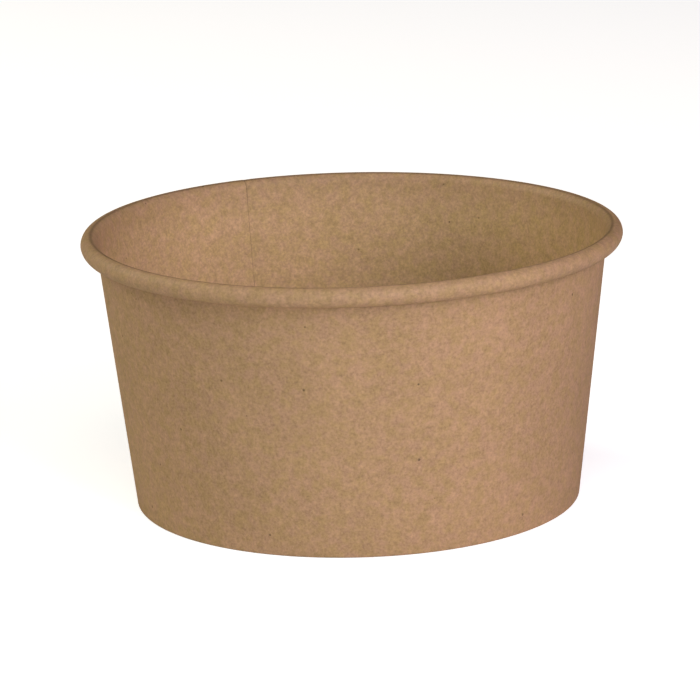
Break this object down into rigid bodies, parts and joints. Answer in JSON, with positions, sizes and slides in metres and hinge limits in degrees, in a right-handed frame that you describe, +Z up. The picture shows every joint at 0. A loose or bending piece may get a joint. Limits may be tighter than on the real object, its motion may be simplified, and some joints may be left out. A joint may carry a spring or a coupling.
{
  "type": "kraft salad bowl",
  "caption": "Round kraft paper salad bowl with a flared, lapped wall, a rolled rim and a recessed base held in a folded foot.",
  "frame": {"origin": "on the table under the bowl's centre", "axes": "+Z up along the bowl's axis, +Y towards the side seam"},
  "size_m": [0.15, 0.15, 0.077],
  "materials": {
    "wall_paper": "matte",
    "base_paper": "matte"
  },
  "bodies": {
    "root": {"sidewall": "wall_paper", "base_disc": "base_paper"}
  },
  "joints": []
}
